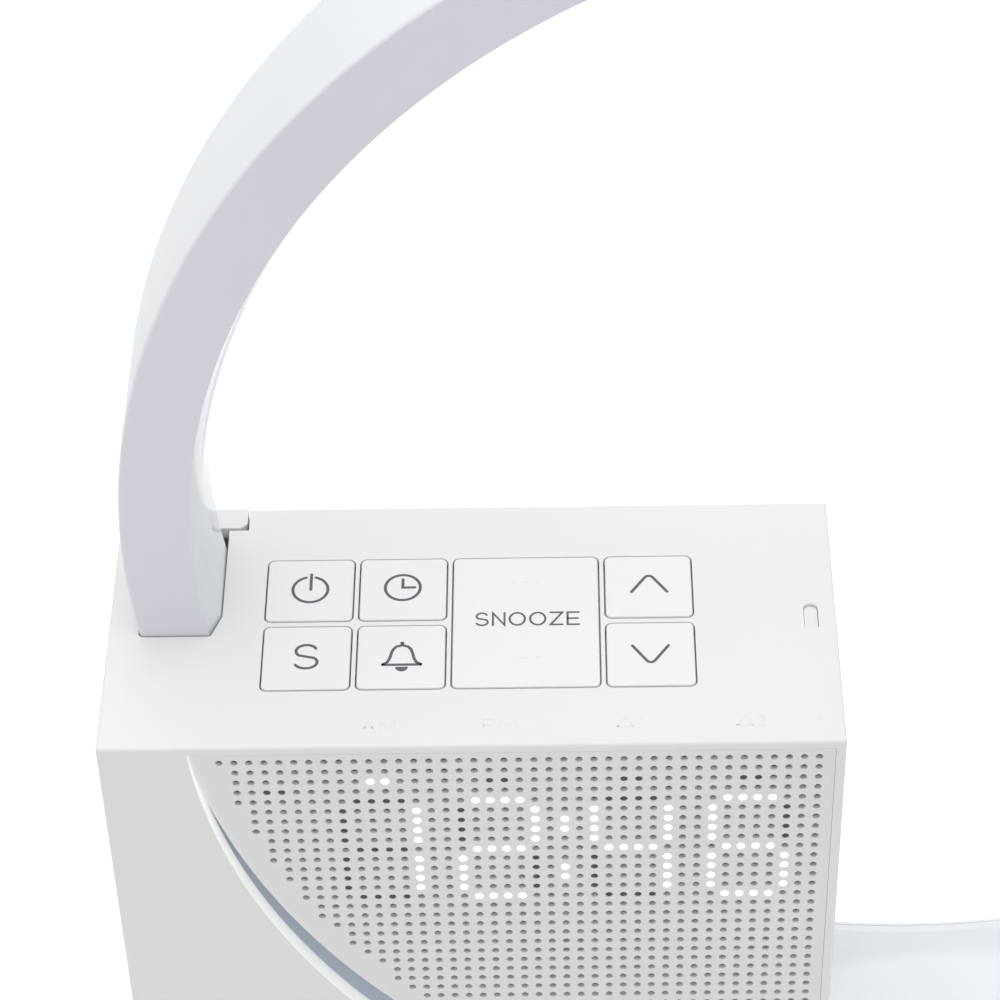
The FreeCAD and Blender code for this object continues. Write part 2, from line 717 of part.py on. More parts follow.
def export_rear():
    export("rear_cover", make_rear_cover())
    export("rear_cover_screws", group(
        screw(x, box_d - cover_screw_sink, z, (0, -1, 0), cover_screw_len,
              screw_r, screw_head_r, screw_head_t)
        for x, z, _ in cover_screws))
    board = box((main_x, main_x + main_w), (main_front, main_back), (main_z, main_z + main_h))
    for x, z in main_screws:
        board = board.cut(rod_y(x, z, small_screw_r + seat, (0, far)))
    export("main_board", board)
    export("main_board_screws", group(
        screw(x, main_front, z, (0, 1, 0), board_t + board_screw_grip,
              small_screw_r, small_head_r, small_head_t)
        for x, z in main_screws))
    # Each chip is x and z on the board, width, height and thickness
    export("board_chips", group(
        box((main_x + cx - w / 2, main_x + cx + w / 2), (main_front - t, main_front),
            (main_z + cz - h / 2, main_z + cz + h / 2)) for cx, cz, w, h, t in board_chip_list))
    socket_y = (main_back, main_back + usb_len)
    shell = usb_block(0, socket_y).cut(usb_block(-usb_wall, (main_back + 1.5, far)))
    cx, cz = usb_place()
    tongue = box((cx - 3.3, cx + 3.3), (main_back + 1.4, main_back + 6.2), (cz - 0.35, cz + 0.35))
    export("usb_c_socket", shell.fuse(tongue).removeSplitter())


# Speaker
def export_speaker():
    x, z, r = speaker_cx, speaker_z, speaker_r
    y0 = flange_y
    back = y0 + speaker_depth
    t = frame_t
    profile = [(r, y0), (r, y0 + t), (r - 1.6, y0 + t), (magnet_r + 0.5, back),
               (magnet_r - 5, back), (magnet_r - 5, back - t), (magnet_r - 0.5, back - t),
               (r - 3.2, y0 + t), (r - 2.6, y0)]
    basket = revolved(profile, [0] * 9, x, z)
    for sx, sz in speaker_screws:
        ear = rod_y(sx, sz, ear_r, (y0, y0 + t)).cut(rod_y(x, z, r - 1.0, (0, far)))
        basket = basket.fuse(ear)
        basket = basket.cut(rod_y(sx, sz, small_screw_r + seat, (0, far)))
    export("speaker_basket", basket.removeSplitter())
    cone = revolved([(r - 4.4, y0 + 0.4), (5.2, y0 + 5.6), (5.2, y0 + 9), (4.8, y0 + 9),
                     (4.8, y0 + 5.2), (r - 4.8, y0 + 0.4)], [0] * 6, x, z)
    cap = revolved([(0.001, y0 + 2.6), (3.0, y0 + 3.2), (4.7, y0 + 4.6), (4.4, y0 + 5.0),
                    (2.6, y0 + 3.7), (0.001, y0 + 3.1)], [0] * 6, x, z)
    export("speaker_cone", cone)
    export("speaker_dust_cap", cap)
    roll = [(r - 3.1, y0 + 0.1), (r - 3.1, y0 + 0.6), (r - 4.5, y0 + 0.38), (r - 4.5, y0 - 0.1)]
    export("speaker_surround", revolved(roll, [0] * 4, x, z))
    export("speaker_magnet", rod_y(x, z, magnet_r, (back + seat, back + magnet_t)))
    gasket_y = (scrim_back + seat, y0 - seat)
    gasket = tube_y(x, z, r - 0.2, r - 2.2, gasket_y)
    export("speaker_gasket", gasket)
    export("speaker_screws", group(
        screw(sx, y0 + t, sz, (0, -1, 0), 2.2, small_screw_r, small_head_r, small_head_t)
        for sx, sz in speaker_screws))
    lead_x = x + magnet_r + 3
    for_board = main_x + main_w - 4
    export("speaker_lead", wire_along(
        [V(lead_x, y0 + 5, z + 12), V(lead_x, main_front - 8, z + 12),
         V(for_board, main_front - 8, z + 28), V(for_board, main_front - seat, z + 28)], 0.7))


# Battery, feet and the ring's lead
def export_battery():
    x, y, z0 = battery_x, battery_y, in_floor + 0.1
    cell_z = (z0 + contact_t, z0 + contact_t + cell_t)
    holder_z = (z0, cell_z[1] + 2.4)
    holder = rod_z(x, y, cell_r + holder_wall, holder_z).cut(rod_z(x, y, cell_r + 0.3, (0, cell_z[1] + 0.8)))
    export("battery_holder", holder)
    export("coin_cell", rod_z(x, y, cell_r, cell_z))
    export("battery_contact", box((x - 8, x + 8), (y - 2, y + 2),
                                  (cell_z[1] + seat, cell_z[1] + seat + contact_t)))
    cap = rod_z(x, y, cap_r, (floor_z, floor_z + cap_t))
    spigot = rod_z(x, y, cell_r, (floor_z + cap_t - 0.1, cell_z[0] - 0.1))
    cap = cap.fuse(spigot).removeSplitter()
    slot_l, slot_w, slot_deep = coin_slot
    cap = cap.cut(box((x - slot_l / 2, x + slot_l / 2), (y - slot_w / 2, y + slot_w / 2),
                      (0, floor_z + slot_deep)))
    export("battery_cap", cap)


def export_feet():
    places = [(x, y) for x in (foot_inset, box_w - foot_inset)
              for y in (foot_inset, box_d - foot_inset)]
    export("housing_feet", group(rod_z(x, y, foot_r, (0, floor_z)) for x, y in places))
    middle = (ring_front + ring_back) / 2
    pad = soft_box((ring_cx - ring_foot_w / 2, ring_cx + ring_foot_w / 2),
                   (middle - ring_foot_d / 2, middle + ring_foot_d / 2),
                   (0, foot_t + ring_foot_rise), 2.0, V(0, 0, 1))
    export("ring_foot", pad.cut(rod_y(ring_cx, ring_cz, ring_or + 0.02, (0, box_d))))


def export_ring_lead():
    start = ring_point(215, crest_r - 0.8)
    y = (ring_front + ring_back) / 2
    end_x = main_x + 3
    export("ring_lead", wire_along([V(start[0], y, start[1]), V(end_x, y, start[1]),
                                    V(end_x, main_front - seat, start[1])], 0.8))


os.makedirs("parts", exist_ok=True)
export("front_housing", make_front_housing())
export("grille_panel", make_grille_panel())
export("ring_tunnel_liner", make_ring_tunnel_liner())
export_display()
export_keys()
export_key_board()
export_ring()
export_ring_mounting()
export_rear()
export_speaker()
export_battery()
export_feet()
export_ring_lead()
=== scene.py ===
import math

import bmesh
import bpy
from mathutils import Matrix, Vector


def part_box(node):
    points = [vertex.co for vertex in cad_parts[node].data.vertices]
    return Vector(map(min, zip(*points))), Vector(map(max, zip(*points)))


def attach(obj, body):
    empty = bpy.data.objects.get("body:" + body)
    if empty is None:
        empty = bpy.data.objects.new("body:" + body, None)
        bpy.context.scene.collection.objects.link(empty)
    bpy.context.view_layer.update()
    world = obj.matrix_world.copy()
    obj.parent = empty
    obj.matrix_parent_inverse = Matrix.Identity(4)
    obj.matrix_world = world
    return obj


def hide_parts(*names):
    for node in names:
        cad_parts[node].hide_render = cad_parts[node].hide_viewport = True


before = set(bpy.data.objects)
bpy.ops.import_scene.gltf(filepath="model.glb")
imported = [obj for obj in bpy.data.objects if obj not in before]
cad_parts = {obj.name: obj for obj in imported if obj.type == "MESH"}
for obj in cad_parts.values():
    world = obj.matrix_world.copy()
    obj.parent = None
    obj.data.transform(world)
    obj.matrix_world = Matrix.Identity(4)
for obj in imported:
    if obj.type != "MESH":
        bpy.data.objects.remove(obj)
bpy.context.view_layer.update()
mm = 0.001

# Front housing and rear cover
# Two shells of white moulded ABS with a very fine spark-eroded grain. The housing is the
# box itself, the cover closes it from behind and sends a tongue up behind the ring.
housing_colour = (0.885, 0.888, 0.872)
cover_colour = (0.875, 0.88, 0.868)
plastic_ior = 1.49


def node_at(tree, kind, x, y, **values):
    node = tree.nodes.new(kind)
    node.location = (x * 180, y * 180)
    for key, value in values.items():
        if hasattr(node, key):
            setattr(node, key, value)
        else:
            node.inputs[key.replace("_", " ")].default_value = value
    return node


def new_material(name):
    material = bpy.data.materials.new(name)
    material.use_nodes = True
    return material, material.node_tree, material.node_tree.nodes["Principled BSDF"]


def moulded(name, colour, rough=0.46, grain=0.35, depth=0.006, cloud=0.012):
    """Moulded plastic: a fine grain in the surface, faint flow clouding and uneven gloss."""
    material, tree, shader = new_material(name)
    place = node_at(tree, "ShaderNodeTexCoord", -6, 0)
    fine = node_at(tree, "ShaderNodeTexNoise", -4, -2, Scale=1.0 / (grain * mm), Detail=3.0)
    wide = node_at(tree, "ShaderNodeTexNoise", -4, 1, Scale=28.0, Detail=2.0)
    tree.links.new(place.outputs["Object"], fine.inputs["Vector"])
    tree.links.new(place.outputs["Object"], wide.inputs["Vector"])
    ramp = node_at(tree, "ShaderNodeValToRGB", -2, 1)
    ramp.color_ramp.elements[0].position = 0.3
    ramp.color_ramp.elements[1].position = 0.7
    ramp.color_ramp.elements[0].color = [c * (1 - cloud) for c in colour] + [1]
    ramp.color_ramp.elements[1].color = [min(1, c * (1 + cloud)) for c in colour] + [1]
    tree.links.new(wide.outputs["Fac"], ramp.inputs["Fac"])
    tree.links.new(ramp.outputs["Color"], shader.inputs["Base Color"])
    gloss = node_at(tree, "ShaderNodeMapRange", -2, -1)
    gloss.inputs["To Min"].default_value = rough - 0.05
    gloss.inputs["To Max"].default_value = rough + 0.05
    tree.links.new(fine.outputs["Fac"], gloss.inputs["Value"])
    tree.links.new(gloss.outputs["Result"], shader.inputs["Roughness"])
    bump = node_at(tree, "ShaderNodeBump", -2, -3, Strength=0.35, Distance=depth * mm)
    tree.links.new(fine.outputs["Fac"], bump.inputs["Height"])
    tree.links.new(bump.outputs["Normal"], shader.inputs["Normal"])
    shader.inputs["IOR"].default_value = plastic_ior
    return material


def dress(material, *names):
    """Gives CAD nodes their finish."""
    for name in names:
        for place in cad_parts[name].material_slots:
            place.material = material


housing_plastic = moulded("housing_plastic", housing_colour)
cover_plastic = moulded("cover_plastic", cover_colour, rough=0.5)
dress(housing_plastic, "front_housing", "battery_cap")
dress(cover_plastic, "rear_cover")

# Perforated grille and the scrim behind it
# A white moulded plate with a square grid of small holes, rolled back along its arc. A grey
# woven scrim lies behind it and keeps dust out of the speaker and the display.
grille_colour = (0.865, 0.865, 0.868)
scrim_dark, scrim_light = (0.10, 0.10, 0.105), (0.20, 0.20, 0.205)
scrim_thread = 0.28


def woven(name, dark, light, thread):
    """A plain weave: two crossed sets of threads in the sheet's own plane."""
    material, tree, shader = new_material(name)
    place = node_at(tree, "ShaderNodeTexCoord", -7, 0)
    waves = []
    for row, direction in ((1, "X"), (-1, "Z")):
        wave = node_at(tree, "ShaderNodeTexWave", -5, row, Scale=1 / (thread * mm * 6.28),
                       Distortion=0.6)
        wave.bands_direction = direction
        tree.links.new(place.outputs["Object"], wave.inputs["Vector"])
        waves.append(wave)
    weave = node_at(tree, "ShaderNodeMath", -3, 0, operation="MULTIPLY")
    tree.links.new(waves[0].outputs["Fac"], weave.inputs[0])
    tree.links.new(waves[1].outputs["Fac"], weave.inputs[1])
    ramp = node_at(tree, "ShaderNodeValToRGB", -2, 1)
    ramp.color_ramp.elements[0].color = (*dark, 1)
    ramp.color_ramp.elements[1].color = (*light, 1)
    tree.links.new(weave.outputs[0], ramp.inputs["Fac"])
    tree.links.new(ramp.outputs["Color"], shader.inputs["Base Color"])
    bump = node_at(tree, "ShaderNodeBump", -2, -2, Strength=0.8, Distance=0.05 * mm)
    tree.links.new(weave.outputs[0], bump.inputs["Height"])
    tree.links.new(bump.outputs["Normal"], shader.inputs["Normal"])
    shader.inputs["Roughness"].default_value = 0.9
    return material


grille_plastic = moulded("grille_plastic", grille_colour, rough=0.5)
dress(grille_plastic, "grille_panel")
dress(woven("scrim_cloth", scrim_dark, scrim_light, scrim_thread), "dust_scrim")

# Ring tunnel liner and ring carrier
# A curved strip, tinted blue-grey, closes the tunnel that the light ring runs through; its faint bluish
# emission is painted light in the gap.
# The carrier behind it is the white frame that the ring is clamped to, coloured a darker blue-grey as
# painted shade deep in the gap.
liner_colour = (0.80, 0.86, 0.95)
liner_painted_light_colour, liner_painted_light_strength = (0.82, 0.90, 1.0, 1), 0.115
carrier_painted_shade_colour = (0.62, 0.63, 0.66)

liner_painted_light_plastic = moulded("liner_painted_light_plastic", liner_colour, rough=0.55)
liner_shader = liner_painted_light_plastic.node_tree.nodes["Principled BSDF"]
# Faint bluish emission: painted light, the ring's light falling into the gap.
liner_shader.inputs["Emission Color"].default_value = liner_painted_light_colour
liner_shader.inputs["Emission Strength"].default_value = liner_painted_light_strength
dress(liner_painted_light_plastic, "ring_tunnel_liner")
# Darker blue-grey than the frame's white: painted shade deep in the gap.
dress(moulded("carrier_painted_shade", carrier_painted_shade_colour, rough=0.55, grain=0.5),
      "ring_carrier", "ring_clamp_upper", "ring_clamp_lower")

# Painted highlight on the edge of the corner panel
# The cut edge of the housing's front corner faces the crescent gap. A thin skin just proud of
# the edge, with an emission of its own, paints the bright band of light on it.
edge_colour, edge_painted_light_tint, edge_painted_light = (0.9, 0.9, 0.885), (1, 1, 0.985, 1), 0.30
edge_r, edge_lift, edge_skin = 115.0, 0.035, 0.02
edge_centre_x, edge_centre_z = 127.85, 116.0
edge_front, edge_back = 0.12, 2.76
edge_from, edge_to, edge_steps = 184.9, 259.0, 180


def bmesh_to_mesh(name, bm):
    mesh = bpy.data.meshes.new(name)
    bm.to_mesh(mesh)
    bm.free()
    return mesh


def mesh_object(name, shape, material, body="clock"):
    """Makes a piece of a mesh or bmesh and lets it ride on a body of the part."""
    mesh = shape if isinstance(shape, bpy.types.Mesh) else bmesh_to_mesh(name, shape)
    piece = bpy.data.objects.new(name, mesh)
    bpy.context.scene.collection.objects.link(piece)
    mesh.materials.append(material)
    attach(piece, body)
    return piece


def edge_band():
    """A thin arc-shaped ribbon along the edge; its places are millimetres from the box corner."""
    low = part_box("front_housing")[0]
    near_r = edge_r - edge_lift
    far_r = near_r + edge_skin
    bm = bmesh.new()
    rows = []
    for i in range(edge_steps + 1):
        a = math.radians(edge_from + (edge_to - edge_from) * i / edge_steps)
        rows.append([bm.verts.new((low.x + (edge_centre_x + r * math.cos(a)) * mm, low.y + y * mm,
                                   (edge_centre_z + r * math.sin(a)) * mm))
                     for r, y in ((near_r, edge_front), (near_r, edge_back),
                                  (far_r, edge_back), (far_r, edge_front))])
    for near, far in zip(rows, rows[1:]):
        for j in range(4):
            k = (j + 1) % 4
            bm.faces.new((near[j], near[k], far[k], far[j]))
    bm.faces.new(rows[0])
    bm.faces.new(rows[-1][::-1])
    bmesh.ops.recalc_face_normals(bm, faces=bm.faces)
    return bm


edge_painted_highlight = moulded("edge_painted_highlight", edge_colour, rough=0.35)
edge_shader = edge_painted_highlight.node_tree.nodes["Principled BSDF"]
# Emission: the painted highlight of the bright band on the edge.
edge_shader.inputs["Emission Color"].default_value = edge_painted_light_tint
edge_shader.inputs["Emission Strength"].default_value = edge_painted_light
mesh_object("corner_edge_painted_highlight", edge_band(), edge_painted_highlight, "clock")

# Display
# White LEDs in a black light guide behind the grille, each lens standing in a hole of it.
# Those that are on show the time, the others stay dark lenses.
lit_colour, lit_strength = (1.0, 1.0, 1.0), 3.0
unlit_colour = (0.03, 0.03, 0.04)
guide_colour = (0.02, 0.02, 0.022)


def lens(name, colour, strength=0.0):
    """A clear resin lens; a lamp that is on also gives light of its own."""
    material, tree, shader = new_material(name)
    place = node_at(tree, "ShaderNodeTexCoord", -5, 0)
    noise = node_at(tree, "ShaderNodeTexNoise", -3, 0, Scale=900.0, Detail=1.0)
    ramp = node_at(tree, "ShaderNodeValToRGB", -2, 0)
    ramp.color_ramp.elements[0].color = [c * 0.92 for c in colour] + [1]
    ramp.color_ramp.elements[1].color = list(colour) + [1]
    tree.links.new(place.outputs["Object"], noise.inputs["Vector"])
    tree.links.new(noise.outputs["Fac"], ramp.inputs["Fac"])
    tree.links.new(ramp.outputs["Color"], shader.inputs["Base Color"])
    if strength:
        tree.links.new(ramp.outputs["Color"], shader.inputs["Emission Color"])
        shader.inputs["Emission Strength"].default_value = strength
    shader.inputs["Roughness"].default_value = 0.22
    return material


dress(lens("led_on", lit_colour, lit_strength), "display_leds_lit")
dress(lens("led_off", unlit_colour), "display_leds_unlit")
black_plastic = moulded("black_plastic", guide_colour, rough=0.6)
dress(black_plastic, "display_light_guide", "battery_holder", "speaker_basket")

# Keys
# Seven flush caps of the same white plastic, each with its function printed in grey ink.
# They sit in close openings and drop half a millimetre onto the switch below.
key_colour = (0.915, 0.92, 0.912)
ink_colour = (0.105, 0.118, 0.135)
plunger_colour = (0.7, 0.7, 0.68)
ink_thick = 0.02
thick_stroke, thin_stroke = 0.46, 0.33
arc_steps = 28

key_plastic = moulded("key_plastic", key_colour, rough=0.42, grain=0.3)
ink = moulded("key_ink", ink_colour, rough=0.55, cloud=0.06)


def arc(cx, cy, rx, ry, start, end, steps=arc_steps):
    """Points along an ellipse, angles in degrees from +X."""
    turn = [math.radians(start + (end - start) * i / steps) for i in range(steps + 1)]
    return [(cx + rx * math.cos(a), cy + ry * math.sin(a)) for a in turn]


def letter(name, w, h):
    """A plain capital or digit as centre lines, from its lower left corner."""
    if name == "S":
        top = arc(w / 2, h * 0.74, w * 0.46, h * 0.26, 25, 235, 18)
        low = arc(w / 2, h * 0.26, w * 0.5, h * 0.26, 55, -155, 18)
        return [top[:-1] + low[1:]]
    if name == "O":
        return [arc(w / 2, h / 2, w / 2, h / 2, 0, 360, 36)]
    if name == "N":
        return [[(0, 0), (0, h), (w, 0), (w, h)]]
    if name == "Z":
        return [[(0, h), (w, h), (0, 0), (w, 0)]]
    if name == "E":
        return [[(w, 0), (0, 0), (0, h), (w, h)], [(0, h / 2), (w * 0.92, h / 2)]]
    if name == "A":
        return [[(0, 0), (w / 2, h), (w, 0)], [(w * 0.2, h * 0.36), (w * 0.8, h * 0.36)]]
    if name == "M":
        return [[(0, 0), (0, h), (w / 2, h * 0.25), (w, h), (w, 0)]]
    if name == "P":
        bowl = arc(w * 0.55, h * 0.73, w * 0.4, h * 0.27, 90, -90, 12)
        return [[(0, 0), (0, h)] + bowl + [(0, h * 0.46)]]
    if name == "1":
        return [[(w * 0.2, h * 0.8), (w * 0.55, h), (w * 0.55, 0)]]
    top = arc(w / 2, h * 0.72, w * 0.42, h * 0.28, 160, -30, 14)
    return [top + [(w * 0.05, 0), (w, 0)]]


def word(text, widths, gap_w, h):
    """Letters set in a line, centred on the origin."""
    total = sum(widths) + gap_w * (len(text) - 1)
    x, paths = -total / 2, []
    for name, w in zip(text, widths):
        for path in letter(name, w, h):
            paths.append([(x + px, py - h / 2) for px, py in path])
        x += w + gap_w
    return paths


def stroke(bm, path, width, z0, z1):
    """One flat printed line: a ribbon of constant width with round ends."""
    points = [Vector((x, y)) for x, y in path]
    closed = (points[0] - points[-1]).length < 1e-6
    if closed:
        points = points[:-1]
    count = len(points)
    left, right = [], []
    for i, point in enumerate(points):
        back = point - points[i - 1] if closed or i else points[1] - points[0]
        ahead = points[(i + 1) % count] - point if closed or i < count - 1 else back
        back, ahead = back.normalized(), ahead.normalized()
        across = Vector((-(back + ahead).y, (back + ahead).x)).normalized()
        square = Vector((-back.y, back.x))
        reach = width / 2 / max(0.35, across.dot(square))
        left.append(point + across * reach)
        right.append(point - across * reach)
    if closed:
        outlines = [(left[i], left[(i + 1) % count], right[(i + 1) % count], right[i])
                    for i in range(count)]
    else:
        outlines = [(left[i], left[i + 1], right[i + 1], right[i]) for i in range(count - 1)]
        for end, inner in ((0, 1), (count - 1, count - 2)):
            out = (points[end] - points[inner]).normalized()
            side = Vector((-out.y, out.x))
            fan = [points[end] + (side * math.cos(a) + out * math.sin(a)) * width / 2
                   for a in (math.pi * k / 8 for k in range(9))]
            outlines.append(fan)
    for outline in outlines:
        plate(bm, outline, z0, z1)


def plate(bm, outline, z0, z1):
    """A thin prism on an outline in millimetres."""
    low = [bm.verts.new((p[0] * mm, p[1] * mm, z0 * mm)) for p in outline]
    high = [bm.verts.new((p[0] * mm, p[1] * mm, z1 * mm)) for p in outline]
    count = len(outline)
    bm.faces.new(high)
    bm.faces.new(low[::-1])
    for i in range(count):
        j = (i + 1) % count
        bm.faces.new((low[i], low[j], high[j], high[i]))


def drawn(strokes, blobs=(), dots=()):
    """Builds a legend from (paths, width) pairs, filled outlines and round dots."""
    bm = bmesh.new()
    for paths, width in strokes:
        for path in paths:
            stroke(bm, path, width, 0, ink_thick)
    for outline in blobs:
        plate(bm, outline, 0, ink_thick)
    for x, y, r in dots:
        plate(bm, arc(x, y, r, r, 0, 360, 20)[:-1], 0, ink_thick)
    bmesh.ops.recalc_face_normals(bm, faces=bm.faces)
    return bm


dial_r, power_open = 2.68, 16
power_mark = [arc(0, 0, dial_r, dial_r, 90 + power_open, 450 - power_open), [(0.06, 0.0), (0.06, 3.25)]]
clock_mark = [arc(0, 0, dial_r, dial_r, 0, 360), [(0, 1.75), (0, 0), (1.85, 0)]]
sound_w, sound_h = 3.4, 4.8
sound_mark = [[(x - 1.75, y - sound_h / 2) for x, y in letter("S", sound_w, sound_h)[0]]]
bell_side = [(-2.85, -1.9), (-2.2, -1.5), (-1.82, -0.7), (-1.6, 0.35), (-1.32, 1.2), (-0.85, 1.75)]
bell_path = bell_side + [(0, 2.02)] + [(-x, y) for x, y in reversed(bell_side)]
bell_base = [(-2.85, -1.98), (2.85, -1.98)]
bell_clapper = [(-0.95, -2.42)] + arc(0, -2.42, 0.95, 0.95, 180, 360, 14)
bell_knob = (0.0, 2.45, 0.33)
chevron_foot, chevron_top = (2.7, -1.85), (0.62, 1.2)
chevron = [(-chevron_foot[0], chevron_foot[1]), (-chevron_top[0], chevron_top[1])]
chevron += arc(0, 0.78, 0.75, 0.78, 145, 35, 8) + [chevron_top, chevron_foot]
snooze_text = word("SNOOZE", (1.75, 1.75, 2.3, 2.3, 1.8, 1.7), 0.78, 2.55)
legends = {"power": ([(power_mark, thick_stroke)], (), ()),
           "clock": ([(clock_mark, thick_stroke)], (), ()),
           "sound": ([(sound_mark, thick_stroke)], (), ()),
           "alarm": ([([bell_path, bell_base], thick_stroke)], (bell_clapper,), (bell_knob,)),
           "snooze": ([(snooze_text, thin_stroke)], (), ()),
           "up": ([([chevron], thick_stroke)], (), ()),
           "down": ([([[(x, -y) for x, y in chevron]], thick_stroke)], (), ())}
legend_shift = {"power": (0.0, 0.1), "clock": (-0.1, 0.3), "sound": (0.0, 0.2), "alarm": (0.1, 0.3),
                "snooze": (0.25, 0.45), "up": (0.1, 0.6), "down": (0.0, -0.2)}
bump_rows, bump_pitch = (8.2, -7.6), 1.85
bump_w, bump_stroke, bump_height = 0.6, 0.2, 0.06

for name, (strokes, blobs, dots) in legends.items():
    low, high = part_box(name + "_key")
    dress(key_plastic, name + "_key")
    piece = bmesh_to_mesh(name + "_legend", drawn(strokes, blobs, dots))
    shift = legend_shift[name]
    middle = (low + high) / 2
    for vert in piece.vertices:
        vert.co += Vector((middle.x + shift[0] * mm, middle.y + shift[1] * mm, high.z))
    mesh_object(name + "_legend", piece, ink, name + "_button")

dash_mesh = bmesh.new()
for y in bump_rows:
    for x in (-bump_pitch, 0.0, bump_pitch):
        stroke(dash_mesh, [(x - bump_w / 2, y), (x + bump_w / 2, y)], bump_stroke, 0, bump_height)
low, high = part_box("snooze_key")
bmesh.ops.translate(dash_mesh, verts=dash_mesh.verts,
                    vec=((low.x + high.x) / 2, (low.y + high.y) / 2, high.z))
mesh_object("snooze_bumps", dash_mesh, key_plastic, "snooze_button")

plunger_plastic = moulded("plunger_plastic", plunger_colour, rough=0.3)
dress(plunger_plastic, *[name + "_switch_plunger" for name in legends])

# Raised marks along the front edge of the top
# Tone-on-tone marks moulded into the housing above the display's small lamps: AM, PM and
# the two alarm bells, with a short tick below each one.
mark_colour = (0.845, 0.85, 0.84)
mark_height, mark_stroke = 0.04, 0.2
mark_row, letter_h, letter_gap = 4.1, 2.1, 0.7
am_x, pm_x, bell_row = 41.35, 59.15, 4.3
bell_marks = ((78.65, "1"), (96.15, "2"))
bell_scale, bell_left, digit_right = 0.42, 1.0, 1.4
tick_x, tick_from, tick_to = (41.55, 59.25, 78.95, 96.35), 1.9, 2.3
dash_from, dash_to, dash_row = 105.95, 106.35, 4.7
housing_low, housing_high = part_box("front_housing")


def mark_at(bm, paths, x, y):
    """Draws raised lines at a place given in millimetres from the box's front left corner."""
    for path in paths:
        stroke(bm, [(px + x, py + y) for px, py in path], mark_stroke, 0, mark_height)


marks = bmesh.new()
small_bell = [(px * bell_scale, py * bell_scale) for px, py in bell_path + bell_base[::-1]]
mark_at(marks, word("AM", (1.9, 2.2), letter_gap, letter_h), am_x, mark_row)
mark_at(marks, word("PM", (1.7, 2.2), letter_gap, letter_h), pm_x, mark_row)
for x, digit in bell_marks:
    mark_at(marks, [small_bell], x - bell_left, bell_row)
    mark_at(marks, word(digit, (1.2,), 0, 2.0), x + digit_right, bell_row)
for x in tick_x:
    mark_at(marks, [[(x, tick_from), (x, tick_to)]], 0, 0)
mark_at(marks, [[(dash_from, dash_row), (dash_to, dash_row)]], 0, 0)
bmesh.ops.translate(marks, verts=marks.verts,
                    vec=(housing_low.x, housing_low.y, housing_high.z))
mark_plastic = moulded("mark_plastic", mark_colour, rough=0.5)
mesh_object("top_marks", marks, mark_plastic, "clock")

# Light ring
# A full hoop, 247 mm across: a satin white channel that is open towards the centre, closed
# there by a raised milky acrylic strip with bevelled sides. It passes through the box.
# The channel's flat front and back faces take a darker, lavender copy of the rim's white: painted
# shade.
side_painted_shade_colour = (0.822, 0.819, 0.907)
rim_colour = (0.87, 0.90, 0.925)
diffuser_colour = (0.83, 0.87, 0.91)
ring_steps, corner_steps = 720, 6
flat_side, sharp_edge = 0.8, 25
rim_h, crest_rise = 10.4, 1.5
bevel_front, bevel_back = 4.1, 3.1
channel_wall, channel_lip, strip_t, foot_w = 1.4, 0.5, 1.45, 1.5
corner_r, fit_gap = 0.6, 0.05


def milky(name, colour):
    """Milk acrylic: light soaks in a little and comes out soft, under a polished face."""
    material, tree, shader = new_material(name)
    place = node_at(tree, "ShaderNodeTexCoord", -5, 0)
    noise = node_at(tree, "ShaderNodeTexNoise", -3, 0, Scale=60.0, Detail=3.0)
    ramp = node_at(tree, "ShaderNodeValToRGB", -2, 0)
    ramp.color_ramp.elements[0].color = [c * 0.985 for c in colour] + [1]
    ramp.color_ramp.elements[1].color = list(colour) + [1]
    tree.links.new(place.outputs["Object"], noise.inputs["Vector"])
    tree.links.new(noise.outputs["Fac"], ramp.inputs["Fac"])
    tree.links.new(ramp.outputs["Color"], shader.inputs["Base Color"])
    shader.inputs["Subsurface Weight"].default_value = 0.2
    shader.inputs["Subsurface Radius"].default_value = (1, 1, 1)
    shader.inputs["Subsurface Scale"].default_value = 1.2 * mm
    shader.inputs["Roughness"].default_value = 0.12
    shader.inputs["IOR"].default_value = plastic_ior
    return material


def hoop(name, profile, centre, materials, pick):
    """Turns a closed (radius, y) outline about the ring's axis; pick gives each face's slot."""
    bm = bmesh.new()
    rows = []
    for i in range(ring_steps):
        a = 2 * math.pi * i / ring_steps
        rows.append([bm.verts.new((centre.x + r * math.cos(a), y, centre.z + r * math.sin(a)))
                     for r, y in profile])
    for i, row in enumerate(rows):
        ahead = rows[(i + 1) % ring_steps]
        for j in range(len(profile)):
            k = (j + 1) % len(profile)
            face = bm.faces.new((row[j], row[k], ahead[k], ahead[j]))
            face.smooth = True
    bmesh.ops.recalc_face_normals(bm, faces=bm.faces)
    for face in bm.faces:
        face.material_index = pick(face.normal)
    mesh = bmesh_to_mesh(name, bm)
    mesh.set_sharp_from_angle(angle=math.radians(sharp_edge))
    piece = mesh_object(name, mesh, materials[0])
    for extra in materials[1:]:
        mesh.materials.append(extra)
    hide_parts(name.replace("shown_", ""))
    return piece


